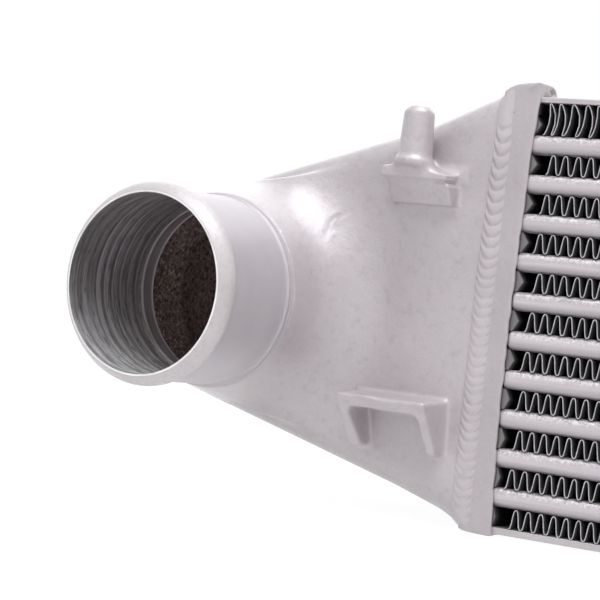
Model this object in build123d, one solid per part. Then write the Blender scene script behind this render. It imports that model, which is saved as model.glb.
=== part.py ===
"""Bar-and-plate intercooler: a brazed core between two cast aluminium end tanks.

Millimetres. X runs along the core, Y from the neck side to the back, Z up.
The origin is the middle of the bottom side plate's underside.
Hot charge air enters one neck, crosses the core along X and leaves by the other neck.
Ambient air passes through the cooling fins along Y.
"""
import os
from math import acos, atan2, cos, hypot, pi, sin

from build123d import *

# Core: charge-air passages and cooling fins stacked in Z between thin parting sheets
core_length = 200.0        # between the lips of the two header frames
core_depth = 90.0
charge_rows = 10
bar_height = 5.7           # charge-air passage
fin_height = 7.3           # ambient-air passage
top_fin_height = 11.6      # the uppermost ambient passage is deeper than the others
sheet_thickness = 0.5
side_plate_thickness = 2.5
braze_gap = 0.05           # filler between a fold's crest and its sheet

# Bars that close the passages
long_bar_width = 6.0
long_bar_nose = 1.4        # a long bar's outer edge is rounded over this depth
long_bar_land = 2.6        # flat left in the middle of that edge
header_bar_width = 8.0
header_bar_point = 0.38    # depth of the pointed edge that looks at the fins, for each millimetre of height

# Cooling fins and turbulators, both folded from foil
fin_waves = 40
fin_foil = 0.25
fin_end_gap = 4.6          # from the header frame's lip to the first fold
turbulator_waves = 5
turbulator_foil = 0.4

# Header frame: a ring with a lip that wraps the core's end, and an ear at the top of its front
lip_length = 8.0
lip_clearance = 0.1
lip_side_wall = 1.5
frame_rise = 4.7           # the ear stands this far above the top side plate
frame_drop = 1.1           # the frame stands this far below the bottom one
lip_rise = 0.6             # behind the ear the lip is nearly flush with the top side plate
ear_depth = 16.0
ear_round = 4.0
ring_step = 0.8            # behind the ear the ring stands this far above the tank
ring_width = 4.5
port_margin_y = 6.5        # ring face left in front of and behind the passages
port_margin_z = 6.0        # ring face left above and below them

# Cast tank: a fan-shaped box that closes round the neck
tank_wall = 4.5
tank_step_y = 0.5          # the tank's face lies this far behind the header frame's
tank_step_z = 2.2          # its upper and lower edges stay this far inside the frame's
neck_reach = 100.0         # from the weld joint to the neck's axis
neck_height = 75.3
tank_end_radius = 45.0
flare_length = 32.0        # stretch beside the joint where the edges sweep out further
upper_flare_drop = 14.8
lower_flare_drop = 9.8
rear_bend_radius = 60.0    # turns the air from the neck into the core
front_edge_radius = 10.0

# Neck: a turned hose spigot on a cone that runs out into the tank's face
neck_bore_radius = 32.4
passage_radius = 34.0      # as-cast passage behind the machined bore
neck_outer_radius = 34.6
neck_ring_radius = 36.1
neck_ring_reach = 27.0     # from the tank's face out to the shoulder at the neck's root
neck_length = 42.6         # from the shoulder to the mouth
cone_slope = 0.25          # radius gained for each millimetre towards the tank
mouth_radius = 33.2        # the mouth's thin outer rim
bead_rise = 2.1
bead_length = 8.5
bead_lead_length = 5.0     # the bead widens from the mouth's rim over this length
bead_crown_length = 1.5

# Locating pin on its ledge, near the upper edge of the tank's face
pin_radius = 6.0
pin_height = 20.7
pin_tip_length = 2.2
pin_tip_radius = 4.0
pin_foot_rise = 1.5        # collar round the pin's foot, for a bracket to seat on
pin_foot_width = 1.6
pin_from_joint = 29.3
pin_from_face = 7.9
ledge_height = 129.0
ledge_width = 28.9
ledge_offset = 2.5         # the ledge's middle lies this much nearer to the joint than the pin
ledge_reach = 11.0
ledge_thickness = 4.4
ledge_fall = 1.3           # the ledge's top drops by this much towards its front edge
gusset_width = 25.5
gusset_drop = 8.8
gusset_foot_reach = 4.5

# Catch: an inverted U, low on the tank's face, that hooks over a bracket
catch_from_joint = 47.5    # to the outer side of the far leg
catch_width = 37.8
catch_lean = 1.7           # the far leg's foot stands in by this much
catch_splay = 1.0          # the near leg's foot stands out by this much
catch_top = 43.4
catch_leg_height = 19.0
catch_web = 4.5
catch_leg = 4.5
catch_leg_gain = 1.6       # the far leg is thicker at its foot
catch_reach = 18.0
catch_foot_reach = 6.0
catch_fall = 1.4           # the catch's top drops by this much towards its front edge

# Weld seam between tank and header frame
seam_width = 7.8
seam_rise = 1.0
seam_sink = 0.2            # the seam stays this much inside the frame at top and bottom
seam_cover = 0.4           # filler left over the tank at the seam's thin edge
seam_corner = 5.0          # cut across the seam's front corners

# Worked-out places
row_pitch = bar_height + fin_height + 2 * sheet_thickness
front_y = -core_depth / 2
core_end = core_length / 2 + lip_length
joint_x = -(core_end + ring_width)
neck_x = joint_x - neck_reach
first_bar_z = side_plate_thickness + fin_height + sheet_thickness
last_bar_top = first_bar_z + (charge_rows - 1) * row_pitch + bar_height
core_height = last_bar_top + sheet_thickness + top_fin_height + side_plate_thickness
frame_front = front_y - lip_clearance - lip_side_wall
frame_low = -frame_drop
frame_high = core_height + frame_rise
tank_front = frame_front + tank_step_y
tank_low = frame_low + tank_step_z
tank_high = frame_high - tank_step_z
ring_high = tank_high + ring_step
ear_back = frame_front + ear_depth
root_y = tank_front + tank_wall / 2        # features on the face are rooted this deep in its wall
shoulder_y = tank_front - neck_ring_reach
mouth_y = shoulder_y - neck_length
cut_past = 5.0             # how far a cutting solid runs past what it cuts
on_outline = 0.01          # an edge nearer than this to the outline lies on it


def block(low, high):
    """Box between two corners."""
    size = [b - a for a, b in zip(low, high)]
    return Pos(*low) * Box(*size, align=(Align.MIN, Align.MIN, Align.MIN))


def front_plane(y):
    """Drawn as seen from the neck side: X across, Z up; extruding comes towards the viewer."""
    return Plane(origin=(0, y, 0), x_dir=(1, 0, 0), z_dir=(0, -1, 0))


def side_plane(x):
    """Drawn as seen from the end: Y across, Z up; extruding goes along the core."""
    return Plane(origin=(x, 0, 0), x_dir=(0, 1, 0), z_dir=(1, 0, 0))


def polygon(points):
    return make_face(Polyline(*points, close=True))


def bar_base(row):
    """Height of the underside of a charge-air passage, counted from the bottom."""
    return first_bar_z + row * row_pitch


def fin_rows():
    """Underside and height of each ambient-air passage, from the bottom up."""
    rows = [(side_plate_thickness, fin_height)]
    for row in range(charge_rows):
        height = top_fin_height if row == charge_rows - 1 else fin_height
        rows.append((bar_base(row) + bar_height + sheet_thickness, height))
    return rows


def folded_foil(length, height, waves, foil):
    """Zigzag strip, seen along its folds, centred on its length and standing on zero."""
    half_pitch = length / waves / 2
    band = foil * hypot(half_pitch, height) / half_pitch
    upper = []
    for fold in range(2 * waves + 1):
        crest = height if fold % 2 else band
        upper.append((fold * half_pitch - length / 2, crest))
    lower = [(x, z - band) for x, z in reversed(upper)]
    return polygon(upper + lower)


def cooling_fin(base, height):
    """Fin foil whose folds run from front to back."""
    length = core_length - 2 * fin_end_gap
    profile = folded_foil(length, height - 2 * braze_gap, fin_waves, fin_foil)
    return Pos(0, 0, base + braze_gap) * extrude(front_plane(-front_y) * profile, core_depth)


def turbulator(base):
    """Foil inside a charge-air passage, with folds along the core."""
    width = core_depth - 2 * long_bar_width - 2 * braze_gap
    profile = folded_foil(width, bar_height - 2 * braze_gap, turbulator_waves, turbulator_foil)
    return Pos(0, 0, base + braze_gap) * extrude(side_plane(-core_end) * profile, 2 * core_end)


def flat_sheet(half_length, base, thickness):
    """Flat sheet as deep as the core."""
    return block((-half_length, front_y, base), (half_length, -front_y, base + thickness))


def front_bar(base):
    """Long bar along the front of a charge-air passage, with its outer corners taken off."""
    shoulder = front_y + long_bar_nose
    inside = front_y + long_bar_width
    land_low = (bar_height - long_bar_land) / 2
    land_high = land_low + long_bar_land
    points = [
        (inside, 0), (inside, bar_height), (shoulder, bar_height),
        (front_y, land_high), (front_y, land_low), (shoulder, 0),
    ]
    return Pos(0, 0, base) * extrude(side_plane(-core_end) * polygon(points), 2 * core_end)


def left_header_bar(base, height):
    """Short bar that closes the left end of a fin row; its pointed edge looks at the fins."""
    flat = header_bar_width - core_end
    tip = flat + header_bar_point * height
    points = [(-core_end, 0), (flat, 0), (tip, height / 2), (flat, height), (-core_end, height)]
    return Pos(0, 0, base) * extrude(front_plane(-front_y) * polygon(points), core_depth)


def header_envelope():
    """Outer form of the header frame: a ring, a lip round the end of the core, and an ear."""
    lip_edge = lip_length - core_end
    ring = block((joint_x, frame_front, frame_low), (-core_end, -frame_front, ring_high))
    lip = block((-core_end, frame_front, frame_low), (lip_edge, -frame_front, core_height + lip_rise))
    ear = block((joint_x, frame_front, frame_low), (lip_edge, ear_back, frame_high))
    upper_edges = ear.edges().filter_by(Axis.X).sort_by(Axis.Z)[-2:]
    return ring + lip + fillet(upper_edges.sort_by(Axis.Y)[-1], ear_round)


def left_header_frame():
    """Header frame, open to the tank and with a pocket for the end of the core."""
    pocket_y = front_y - lip_clearance
    pocket_low = side_plate_thickness - lip_clearance
    pocket = block(
        (-core_end, pocket_y, pocket_low),
        (lip_length - core_end + cut_past, -pocket_y, core_height - pocket_low),
    )
    port_y = front_y + port_margin_y
    port = block(
        (joint_x - cut_past, port_y, port_margin_z),
        (cut_past - core_end, -port_y, core_height - port_margin_z),
    )
    return header_envelope() - pocket - port


def tangent_point(centre, radius, point, side):
    """Where a line from the point touches the circle: above it for side 1, below for -1."""
    away = point - centre
    angle = atan2(away.Y, away.X) + side * acos(radius / away.length)
    return centre + Vector(radius * cos(angle), radius * sin(angle))


def tank_outline(inset):
    """Front view of the tank: an arc round the neck, straight edges and a flare to the joint."""
    centre = Vector(neck_x, neck_height)
    radius = tank_end_radius - inset
    flare_x = joint_x - flare_length
    upper_flare = Vector(flare_x, tank_high - upper_flare_drop - inset)
    lower_flare = Vector(flare_x, tank_low + lower_flare_drop + inset)
    upper_touch = tangent_point(centre, radius, upper_flare, 1)
    lower_touch = tangent_point(centre, radius, lower_flare, -1)
    joint_side = Polyline(
        upper_touch, upper_flare, (joint_x, tank_high - inset),
        (joint_x, tank_low + inset), lower_flare, lower_touch,
    )
    end = ThreePointArc(lower_touch, centre - Vector(radius, 0), upper_touch)
    return make_face([*joint_side.edges(), end])


def rear_bend(inset):
    """Cutter that rounds the tank's far rear corner, seen from above."""
    left = neck_x - tank_end_radius + inset
    back = -tank_front - inset
    radius = rear_bend_radius - inset
    centre_x = left + radius
    centre_y = back - radius
    middle = (centre_x - radius * cos(pi / 4), centre_y + radius * sin(pi / 4))
    bend = ThreePointArc((left, centre_y), middle, (centre_x, back))
    corner = Polyline(
        (centre_x, back), (centre_x, back + cut_past), (left - cut_past, back + cut_past),
        (left - cut_past, centre_y), (left, centre_y),
    )
    return extrude(make_face([bend, *corner.edges()]), frame_high)


def fan_block(inset):
    """The tank's outline drawn out from its rear face to its front face."""
    depth = -2 * (tank_front + inset)
    fan = extrude(front_plane(-tank_front - inset) * tank_outline(inset), depth)
    return fan - rear_bend(inset)


def front_rim(fan):
    """Straight edges between the fan's front face and its upper and lower sides."""
    front_face = fan.faces().sort_by(Axis.Y)[0]
    straight = front_face.edges().filter_by(GeomType.LINE)
    return [edge for edge in straight if abs((edge @ 0.5).X - joint_x) > on_outline]


def turned(points):
    """Solid turned round the neck's axis from a closed profile of (radius, y)."""
    neck = Plane(origin=(neck_x, 0, neck_height), x_dir=(1, 0, 0), z_dir=(0, 0, 1))
    return revolve(neck * polygon(points), Axis((neck_x, 0, neck_height), (0, 1, 0)))


def tank_form():
    """Outer form of the tank before it is hollowed: a fan with a cone round the neck's root."""
    fan = fan_block(0)
    fan = fillet(front_rim(fan), front_edge_radius)
    full_y = shoulder_y + (tank_end_radius - neck_ring_radius) / cone_slope
    seat_y = full_y + front_edge_radius
    cone = turned([
        (0, shoulder_y), (neck_ring_radius, shoulder_y),
        (tank_end_radius, full_y), (tank_end_radius, seat_y), (0, seat_y),
    ])
    return fan + cone


def cavity():
    """Space inside the tank and the cone, with the neck's bore."""
    wall_across = tank_wall * hypot(1, cone_slope)
    passage_y = shoulder_y + (passage_radius + wall_across - neck_ring_radius) / cone_slope
    passage_end = tank_front + 2 * tank_wall
    bore = turned([
        (0, mouth_y - cut_past), (neck_bore_radius, mouth_y - cut_past),
        (neck_bore_radius, passage_y), (passage_radius, passage_y),
        (passage_radius, passage_end), (0, passage_end),
    ])
    return fan_block(tank_wall) + bore


def neck_spigot():
    """Turned tube with a hose bead at the mouth and a shoulder at the root."""
    crown_radius = neck_outer_radius + bead_rise
    crown_near = mouth_y + bead_lead_length
    crown_far = crown_near + bead_crown_length
    return turned([
        (0, mouth_y), (mouth_radius, mouth_y), (crown_radius, crown_near),
        (crown_radius, crown_far), (neck_outer_radius, mouth_y + bead_length),
        (neck_outer_radius, shoulder_y), (0, shoulder_y),
    ])


def locating_pin():
    """Upright pin with a collar and a tapered tip, on a ledge with a gusset under it."""
    centre_x = joint_x - pin_from_joint
    ledge_y = tank_front - ledge_reach
    ledge_low = ledge_height - ledge_fall - ledge_thickness
    upright = (Align.CENTER, Align.CENTER, Align.MIN)
    shaft_length = ledge_fall + pin_height - pin_tip_length
    shaft = Cylinder(pin_radius, shaft_length, align=upright)
    foot = Cylinder(pin_radius + pin_foot_width, ledge_fall + pin_foot_rise, align=upright)
    tip = Pos(0, 0, shaft_length) * Cone(pin_radius, pin_tip_radius, pin_tip_length, align=upright)
    pin = Pos(centre_x, tank_front - pin_from_face, ledge_height - ledge_fall) * (shaft + foot + tip)
    ledge = polygon([
        (root_y, ledge_height), (ledge_y, ledge_height - ledge_fall), (ledge_y, ledge_low), (root_y, ledge_low),
    ])
    gusset = polygon([
        (root_y, ledge_low), (ledge_y + ledge_fall, ledge_low),
        (tank_front - gusset_foot_reach, ledge_low - gusset_drop), (root_y, ledge_low - gusset_drop),
    ])
    middle = side_plane(centre_x + ledge_offset)
    ledge = extrude(middle * ledge, ledge_width / 2, both=True)
    return pin + ledge + extrude(middle * gusset, gusset_width / 2, both=True)


def catch():
    """Inverted U that stands out of the tank's face, deep at the top and shallow at the feet."""
    left = joint_x - catch_from_joint
    right = left + catch_width
    foot = catch_top - catch_leg_height
    web_low = catch_top - catch_web
    crest = catch_top + catch_fall
    near_foot = right + catch_splay
    far_foot = left + catch_lean
    front_view = polygon([
        (left, crest), (right, crest), (near_foot, foot), (near_foot - catch_leg, foot),
        (right - catch_leg, web_low), (left + catch_leg, web_low),
        (far_foot + catch_leg + catch_leg_gain, foot), (far_foot, foot),
    ])
    side_view = polygon([
        (root_y, crest), (tank_front, crest), (tank_front - catch_reach, catch_top),
        (tank_front - catch_foot_reach, foot), (root_y, foot),
    ])
    arch = extrude(front_plane(root_y) * front_view, root_y - tank_front + catch_reach)
    return arch & extrude(side_plane(left) * side_view, catch_width + catch_splay)


def left_tank():
    """End tank cast in one with its neck, pin and catch."""
    casting = tank_form() + neck_spigot() + locating_pin() + catch()
    return casting - cavity()


def seam_section(x, low, high, ear_high, half_depth):
    """Outline across the core for one station of the weld seam, with its front corners cut."""
    narrow = half_depth - seam_corner
    points = [
        (half_depth, low), (half_depth, high), (ear_back + ear_round, high), (ear_back, ear_high),
        (-narrow, ear_high), (-half_depth, ear_high - seam_corner), (-half_depth, low + seam_corner),
        (-narrow, low),
    ]
    return side_plane(x) * polygon(points)


def left_weld_seam():
    """Bead round the joint: it fills the step from the tank up to the header frame."""
    half = seam_width / 2
    low = frame_low + seam_sink
    high = ring_high - seam_sink
    ear_high = frame_high - seam_sink
    thin_low = tank_low + half * lower_flare_drop / flare_length - seam_cover
    thin_high = tank_high - half * upper_flare_drop / flare_length + seam_cover
    thin = seam_section(joint_x - half, thin_low, thin_high, thin_high, seam_cover - tank_front)
    crown = seam_section(joint_x, low, high, ear_high, seam_rise - frame_front)
    spent = seam_section(joint_x + half, low, high, ear_high, -frame_front)
    bead = loft([thin, crown], ruled=True) + loft([crown, spent], ruled=True)
    return bead - tank_form() - header_envelope()


def at_both_ends(name, left):
    """The left piece and its mirror image at the right end."""
    return {"left_" + name: left, "right_" + name: mirror(left, about=Plane.YZ)}


def core_nodes():
    """Sheets, bars and folded foils of the core, by name."""
    nodes = {
        "bottom_side_plate": flat_sheet(core_length / 2, 0, side_plate_thickness),
        "top_side_plate": flat_sheet(
            core_length / 2, core_height - side_plate_thickness, side_plate_thickness
        ),
    }
    for number, (base, height) in enumerate(fin_rows(), 1):
        nodes[f"cooling_fin_{number:02}"] = cooling_fin(base, height)
    front_bars = []
    for row in range(charge_rows):
        base = bar_base(row)
        nodes[f"turbulator_{row + 1:02}"] = turbulator(base)
        sheets = [base - sheet_thickness, base + bar_height]
        for number, level in enumerate(sheets, 2 * row + 1):
            nodes[f"parting_sheet_{number:02}"] = flat_sheet(core_end, level, sheet_thickness)
        front_bars.append(front_bar(base))
    nodes["front_passage_bars"] = Compound(front_bars)
    nodes["rear_passage_bars"] = mirror(nodes["front_passage_bars"], about=Plane.XZ)
    header_bars = [left_header_bar(base, height) for base, height in fin_rows()]
    nodes.update(at_both_ends("header_bars", Compound(header_bars)))
    return nodes


def all_nodes():
    """Every piece of the intercooler, by name."""
    nodes = core_nodes()
    nodes.update(at_both_ends("header_frame", left_header_frame()))
    nodes.update(at_both_ends("weld_seam", left_weld_seam()))
    nodes.update(at_both_ends("tank", left_tank()))
    return nodes


os.makedirs("parts", exist_ok=True)
for name, piece in all_nodes().items():
    export_step(piece, f"parts/{name}.step")
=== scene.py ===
from contextlib import contextmanager
from math import atan2, cos, hypot, pi, radians, sin, tanh
from random import Random

import bpy
import numpy as np
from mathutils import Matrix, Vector


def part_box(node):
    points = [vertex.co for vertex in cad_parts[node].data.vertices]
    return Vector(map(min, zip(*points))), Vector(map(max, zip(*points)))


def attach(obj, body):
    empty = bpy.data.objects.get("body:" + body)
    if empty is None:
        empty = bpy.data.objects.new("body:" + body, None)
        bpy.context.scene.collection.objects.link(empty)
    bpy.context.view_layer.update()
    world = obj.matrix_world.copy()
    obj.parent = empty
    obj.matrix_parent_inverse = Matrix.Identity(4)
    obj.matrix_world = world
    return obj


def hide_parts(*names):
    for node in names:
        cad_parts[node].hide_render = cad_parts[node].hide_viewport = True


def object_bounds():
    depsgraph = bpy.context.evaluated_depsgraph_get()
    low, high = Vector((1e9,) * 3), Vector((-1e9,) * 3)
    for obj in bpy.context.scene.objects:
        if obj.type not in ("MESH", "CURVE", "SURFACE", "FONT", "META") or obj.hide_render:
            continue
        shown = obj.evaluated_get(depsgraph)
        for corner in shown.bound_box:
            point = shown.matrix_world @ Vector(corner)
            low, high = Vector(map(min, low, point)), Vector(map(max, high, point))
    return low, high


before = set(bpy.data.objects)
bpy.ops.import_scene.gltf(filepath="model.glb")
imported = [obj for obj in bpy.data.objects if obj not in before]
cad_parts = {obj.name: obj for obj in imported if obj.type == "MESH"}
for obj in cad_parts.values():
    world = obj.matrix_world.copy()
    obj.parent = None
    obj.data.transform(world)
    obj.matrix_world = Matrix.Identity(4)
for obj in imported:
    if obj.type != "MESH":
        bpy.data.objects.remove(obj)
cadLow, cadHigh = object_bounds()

mm = 0.001
micron = 0.001 * mm

# places taken from the frame
tankLow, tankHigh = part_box("left_tank")
headerLow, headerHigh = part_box("left_header_frame")
barLow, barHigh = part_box("front_passage_bars")
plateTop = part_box("top_side_plate")[1].z
jointX = headerLow.x
lipX = headerHigh.x
coreFront = barLow.y
mouthY = tankLow.y

neckPlace = {
    "x": tankLow.x + 45 * mm,
    "z": 75.3 * mm,
    "boreRadius": 32.4 * mm,
    "mouthRadius": 33.2 * mm,
    "tubeRadius": 34.6 * mm,
    "shoulderRadius": 36.1 * mm,
    "length": 42.6 * mm,          # from the mouth to the shoulder
    "boreLength": 52.75 * mm,     # from the mouth to the as-cast passage
    "coneSlope": 0.25,
}
shoulderY = mouthY + neckPlace["length"]
passageY = mouthY + neckPlace["boreLength"]
faceY = shoulderY + 27 * mm       # the tank's front face
pinPlace = {"x": jointX - 29.3 * mm, "y": faceY - 7.9 * mm, "foot": 130.5 * mm, "top": 149.7 * mm}


# selection, editing and copies
def clearSelection():
    if bpy.context.object and bpy.context.object.mode != "OBJECT":
        bpy.ops.object.mode_set(mode="OBJECT")
    bpy.ops.object.select_all(action="DESELECT")


def pick(piece):
    # makes one object the only selected and active one
    clearSelection()
    piece.select_set(True)
    bpy.context.view_layer.objects.active = piece


@contextmanager
def editing(piece, selection="SELECT"):
    # edit mode on one piece, with everything or nothing selected
    pick(piece)
    bpy.ops.object.mode_set(mode="EDIT")
    bpy.ops.mesh.select_all(action=selection)
    yield
    bpy.ops.object.mode_set(mode="OBJECT")


def startPiece(name):
    # names the primitive that was just added and returns it
    piece = bpy.context.object
    piece.name = name
    piece.data.name = name
    return piece


def coordinates(piece):
    flat = np.empty(len(piece.data.vertices) * 3)
    piece.data.vertices.foreach_get("co", flat)
    return flat.reshape(-1, 3)


def setCoordinates(piece, points):
    piece.data.vertices.foreach_set("co", np.asarray(points, float).ravel())
    piece.data.update()


def applyModifier(piece, kind, **settings):
    pick(piece)
    modifier = piece.modifiers.new(kind.lower(), kind)
    for key, value in settings.items():
        setattr(modifier, key, value)
    bpy.ops.object.modifier_apply(modifier=modifier.name)


def applyPlace(piece):
    pick(piece)
    bpy.ops.object.transform_apply(location=True, rotation=True, scale=True)


def weightGroup(piece, name, weights):
    # vertex weights, rounded to a few levels
    levels = 20
    group = piece.vertex_groups.new(name=name)
    rounded = np.clip(np.round(np.asarray(weights) * levels).astype(int), 0, levels)
    for level in range(1, levels + 1):
        members = np.nonzero(rounded == level)[0].tolist()
        if members:
            group.add(members, level / levels, "REPLACE")


def mergeDoubles(piece, reach=5 * micron):
    with editing(piece):
        bpy.ops.mesh.remove_doubles(threshold=reach)


def mergedCopy(node, name):
    # a copy of a CAD node with its loose triangles joined
    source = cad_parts[node]
    piece = bpy.data.objects.new(name, source.data.copy())
    piece.data.name = name
    bpy.context.scene.collection.objects.link(piece)
    piece.data.materials.clear()
    mergeDoubles(piece)
    bpy.ops.mesh.customdata_custom_splitnormals_clear()
    return piece


def outwardFaces(piece):
    with editing(piece):
        bpy.ops.mesh.normals_make_consistent(inside=False)


def smoothShade(piece, angle=None):
    pick(piece)
    if angle is None:
        bpy.ops.object.shade_smooth()
    else:
        bpy.ops.object.shade_smooth_by_angle(angle=radians(angle))


def joinPieces(pieces, name):
    pick(pieces[0])
    for piece in pieces[1:]:
        piece.select_set(True)
    bpy.ops.object.join()
    return startPiece(name)


def mirroredCopy(piece, name, axis):
    # the same piece at the other end (axis 0) or at the back (axis 1)
    twin = piece.copy()
    twin.data = piece.data.copy()
    twin.name = name
    twin.data.name = name
    bpy.context.scene.collection.objects.link(twin)
    twin.scale[axis] = -1
    applyPlace(twin)
    with editing(twin):
        bpy.ops.mesh.flip_normals()
    return twin


def cover(piece, *names):
    # adds finishes, in the order of the piece's material slots
    for name in names:
        piece.data.materials.append(finishes[name])


def keepPiece(piece, slot, *nodes):
    # rides on the part's only body and stands in for the nodes
    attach(piece, "root")
    if nodes:
        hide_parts(*nodes)


# shader maths
class Wire:
    # one socket; arithmetic on it adds Math nodes
    def __init__(self, finish, socket):
        self.finish = finish
        self.socket = socket

    def combine(self, operation, first, second):
        return self.finish.add("Math", {"operation": operation}, {0: first, 1: second})

    def __add__(self, other):
        return self.combine("ADD", self, other)

    def __radd__(self, other):
        return self.combine("ADD", other, self)

    def __sub__(self, other):
        return self.combine("SUBTRACT", self, other)

    def __rsub__(self, other):
        return self.combine("SUBTRACT", other, self)

    def __mul__(self, other):
        return self.combine("MULTIPLY", self, other)

    def __rmul__(self, other):
        return self.combine("MULTIPLY", other, self)

    def __truediv__(self, other):
        return self.combine("DIVIDE", self, other)

    def __pow__(self, other):
        return self.combine("POWER", self, other)


class Finish:
    # one material and the nodes in it
    def __init__(self, name):
        self.material = bpy.data.materials.new(name)
        self.material.use_nodes = True
        self.tree = self.material.node_tree
        self.tree.nodes.clear()

    def add(self, kind, settings=None, sockets=None, out=0):
        node = self.tree.nodes.new("ShaderNode" + kind)
        for key, value in (settings or {}).items():
            setattr(node, key, value)
        for key, value in (sockets or {}).items():
            if isinstance(value, Wire):
                self.tree.links.new(value.socket, node.inputs[key])
            else:
                node.inputs[key].default_value = value
        return Wire(self, node.outputs[out]) if node.outputs else None

    def place(self):
        # object coordinates
        return self.add("TexCoord", out=3)

    def part(self, axis):
        # one object coordinate: 0 across, 1 in depth, 2 up
        return self.add("SeparateXYZ", {}, {"Vector": self.place()}, out=axis)

    def stretched(self, scale):
        return self.add("Mapping", {}, {"Vector": self.place(), "Scale": scale})

    def noise(self, scale, detail=3, roughness=0.55, stretch=(1, 1, 1)):
        return self.add(
            "TexNoise", {},
            {"Vector": self.stretched(stretch), "Scale": scale, "Detail": detail, "Roughness": roughness},
        )

    def ramp(self, value, low, high, start=0, end=1):
        return self.add(
            "MapRange", {"clamp": True},
            {"Value": value, "From Min": low, "From Max": high, "To Min": start, "To Max": end},
        )

    def clouded(self, noise):
        # soft clouds from a noise, as much light as dark
        return self.ramp(noise, 0.35, 0.65)

    def uneven(self, noise, low, high):
        # a value that follows a noise between two levels
        return self.ramp(noise, 0.3, 0.7, low, high)

    def blend(self, factor, first, second):
        return self.add(
            "Mix", {"data_type": "RGBA", "clamp_factor": True}, {0: factor, 6: first, 7: second}, out=2
        )

    def least(self, first, second):
        return self.add("Math", {"operation": "MINIMUM"}, {0: first, 1: second})

    def most(self, first, second):
        return self.add("Math", {"operation": "MAXIMUM"}, {0: first, 1: second})

    def coreDepth(self, reach):
        # 0 at the core's front and back faces, 1 from the reach inwards
        depth = self.part(1)
        fromFront = self.ramp(depth, coreFront, coreFront + reach)
        fromBack = self.ramp(depth, -coreFront - reach, -coreFront, 1, 0)
        return self.least(fromFront, fromBack)

    def bump(self, height, distance, strength=1.0, under=None):
        sockets = {"Height": height, "Distance": distance, "Strength": strength}
        if under:
            sockets["Normal"] = under     # bump already on the surface
        return self.add("Bump", {}, sockets)

    def surface(self, **sockets):
        named = {key.replace("_", " "): value for key, value in sockets.items()}
        shader = self.add("BsdfPrincipled", {}, named)
        self.add("OutputMaterial", {}, {"Surface": shader})
        return self.material


paint = {
    "tone": (0.520, 0.474, 0.492, 1),
    "shadeTone": (0.470, 0.426, 0.445, 1),
    "fleck": (0.80, 0.77, 0.79, 1),
    "fleckShare": 0.22,
    "pit": (0.30, 0.27, 0.28, 1),
    "pitShare": 0.26,
    "cloudScale": 38,
    "metallic": 0.20,
    "roughness": 0.48,
    "coat": 0.90,
    "coatRoughness": 0.27,
    "bumpStrength": 0.9,
    "speckle": 1000.0,
    "speckleRise": 0.08 * mm,
    "grit": 300.0,
    "gritRise": 0.24 * mm,
    "orangePeel": 95.0,
    "orangePeelRise": 0.36 * mm,
    # small open pores in the casting and the frame, in mm, drawn only as near-black spots: painted shade of
    # the holes
    "pores": ((-127.8, -60.6, 44.6), (-113.6, -46.6, 8.6), (-107.6, -47.0, 149.9)),
    "poreSize": 0.55 * mm,
    "poreShade": (0.02, 0.016, 0.018, 1),
}


def castPaint(name, grain=1.0, tint=(1, 1, 1), gloss=1.0):
    # silver coat over a sand-cast skin
    finish = Finish(name)
    cloud = finish.noise(paint["cloudScale"], 4)
    speck = finish.noise(paint["speckle"], 2, 0.7)
    grit = finish.noise(paint["grit"], 3, 0.6)
    peel = finish.noise(paint["orangePeel"], 3, 0.6)
    dark, light = [
        tuple(part * share for part, share in zip(paint[key], tint + (1,))) for key in ("shadeTone", "tone")
    ]
    tone = finish.blend(finish.clouded(cloud), dark, light)
    tone = finish.blend(finish.ramp(speck, 0.58, 0.75, 0, paint["fleckShare"] * grain), tone, paint["fleck"])
    tone = finish.blend(finish.ramp(grit, 0.28, 0.48, paint["pitShare"] * grain, 0), tone, paint["pit"])
    # near-black spots where the pores are: painted shade, since the mesh has no holes there
    for pore in paint["pores"]:
        spot = [part * mm for part in pore]
        away = finish.add("VectorMath", {"operation": "DISTANCE"}, {0: finish.place(), 1: spot}, out=1)
        inside = finish.ramp(away, paint["poreSize"] * 0.5, paint["poreSize"], 1, 0)
        tone = finish.blend(inside, tone, paint["poreShade"])
    strength = paint["bumpStrength"]
    skin = finish.bump(peel, paint["orangePeelRise"] * grain, strength)
    skin = finish.bump(grit, paint["gritRise"] * grain, strength, skin)
    skin = finish.bump(speck, paint["speckleRise"] * grain, strength, skin)
    low, high = paint["roughness"] - 0.05 * grain, paint["roughness"] + 0.06
    return finish.surface(
        Base_Color=tone, Metallic=paint["metallic"], Roughness=finish.uneven(speck, low, high),
        Coat_Weight=paint["coat"] * gloss, Coat_Roughness=paint["coatRoughness"], Normal=skin,
    )


bareCast = {
    "nearShadeTone": (0.34, 0.240, 0.230, 1),     # painted shade, just behind the neck
    # painted light, deep inside the tank
    "deepLitTone": (1.0, 0.80, 0.78, 1),
    "stain": (0.14, 0.10, 0.095, 1),
    "grain": (1.0, 0.85, 0.76, 1),
    "pit": (0.03, 0.02, 0.02, 1),
    "grainScale": 640,
    "grainRise": 0.6 * mm,
    "stainScale": 60,
    "deepPlace": 0.4,                        # share of the passage's depth, behind the middle, where the painted light is full
}


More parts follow.
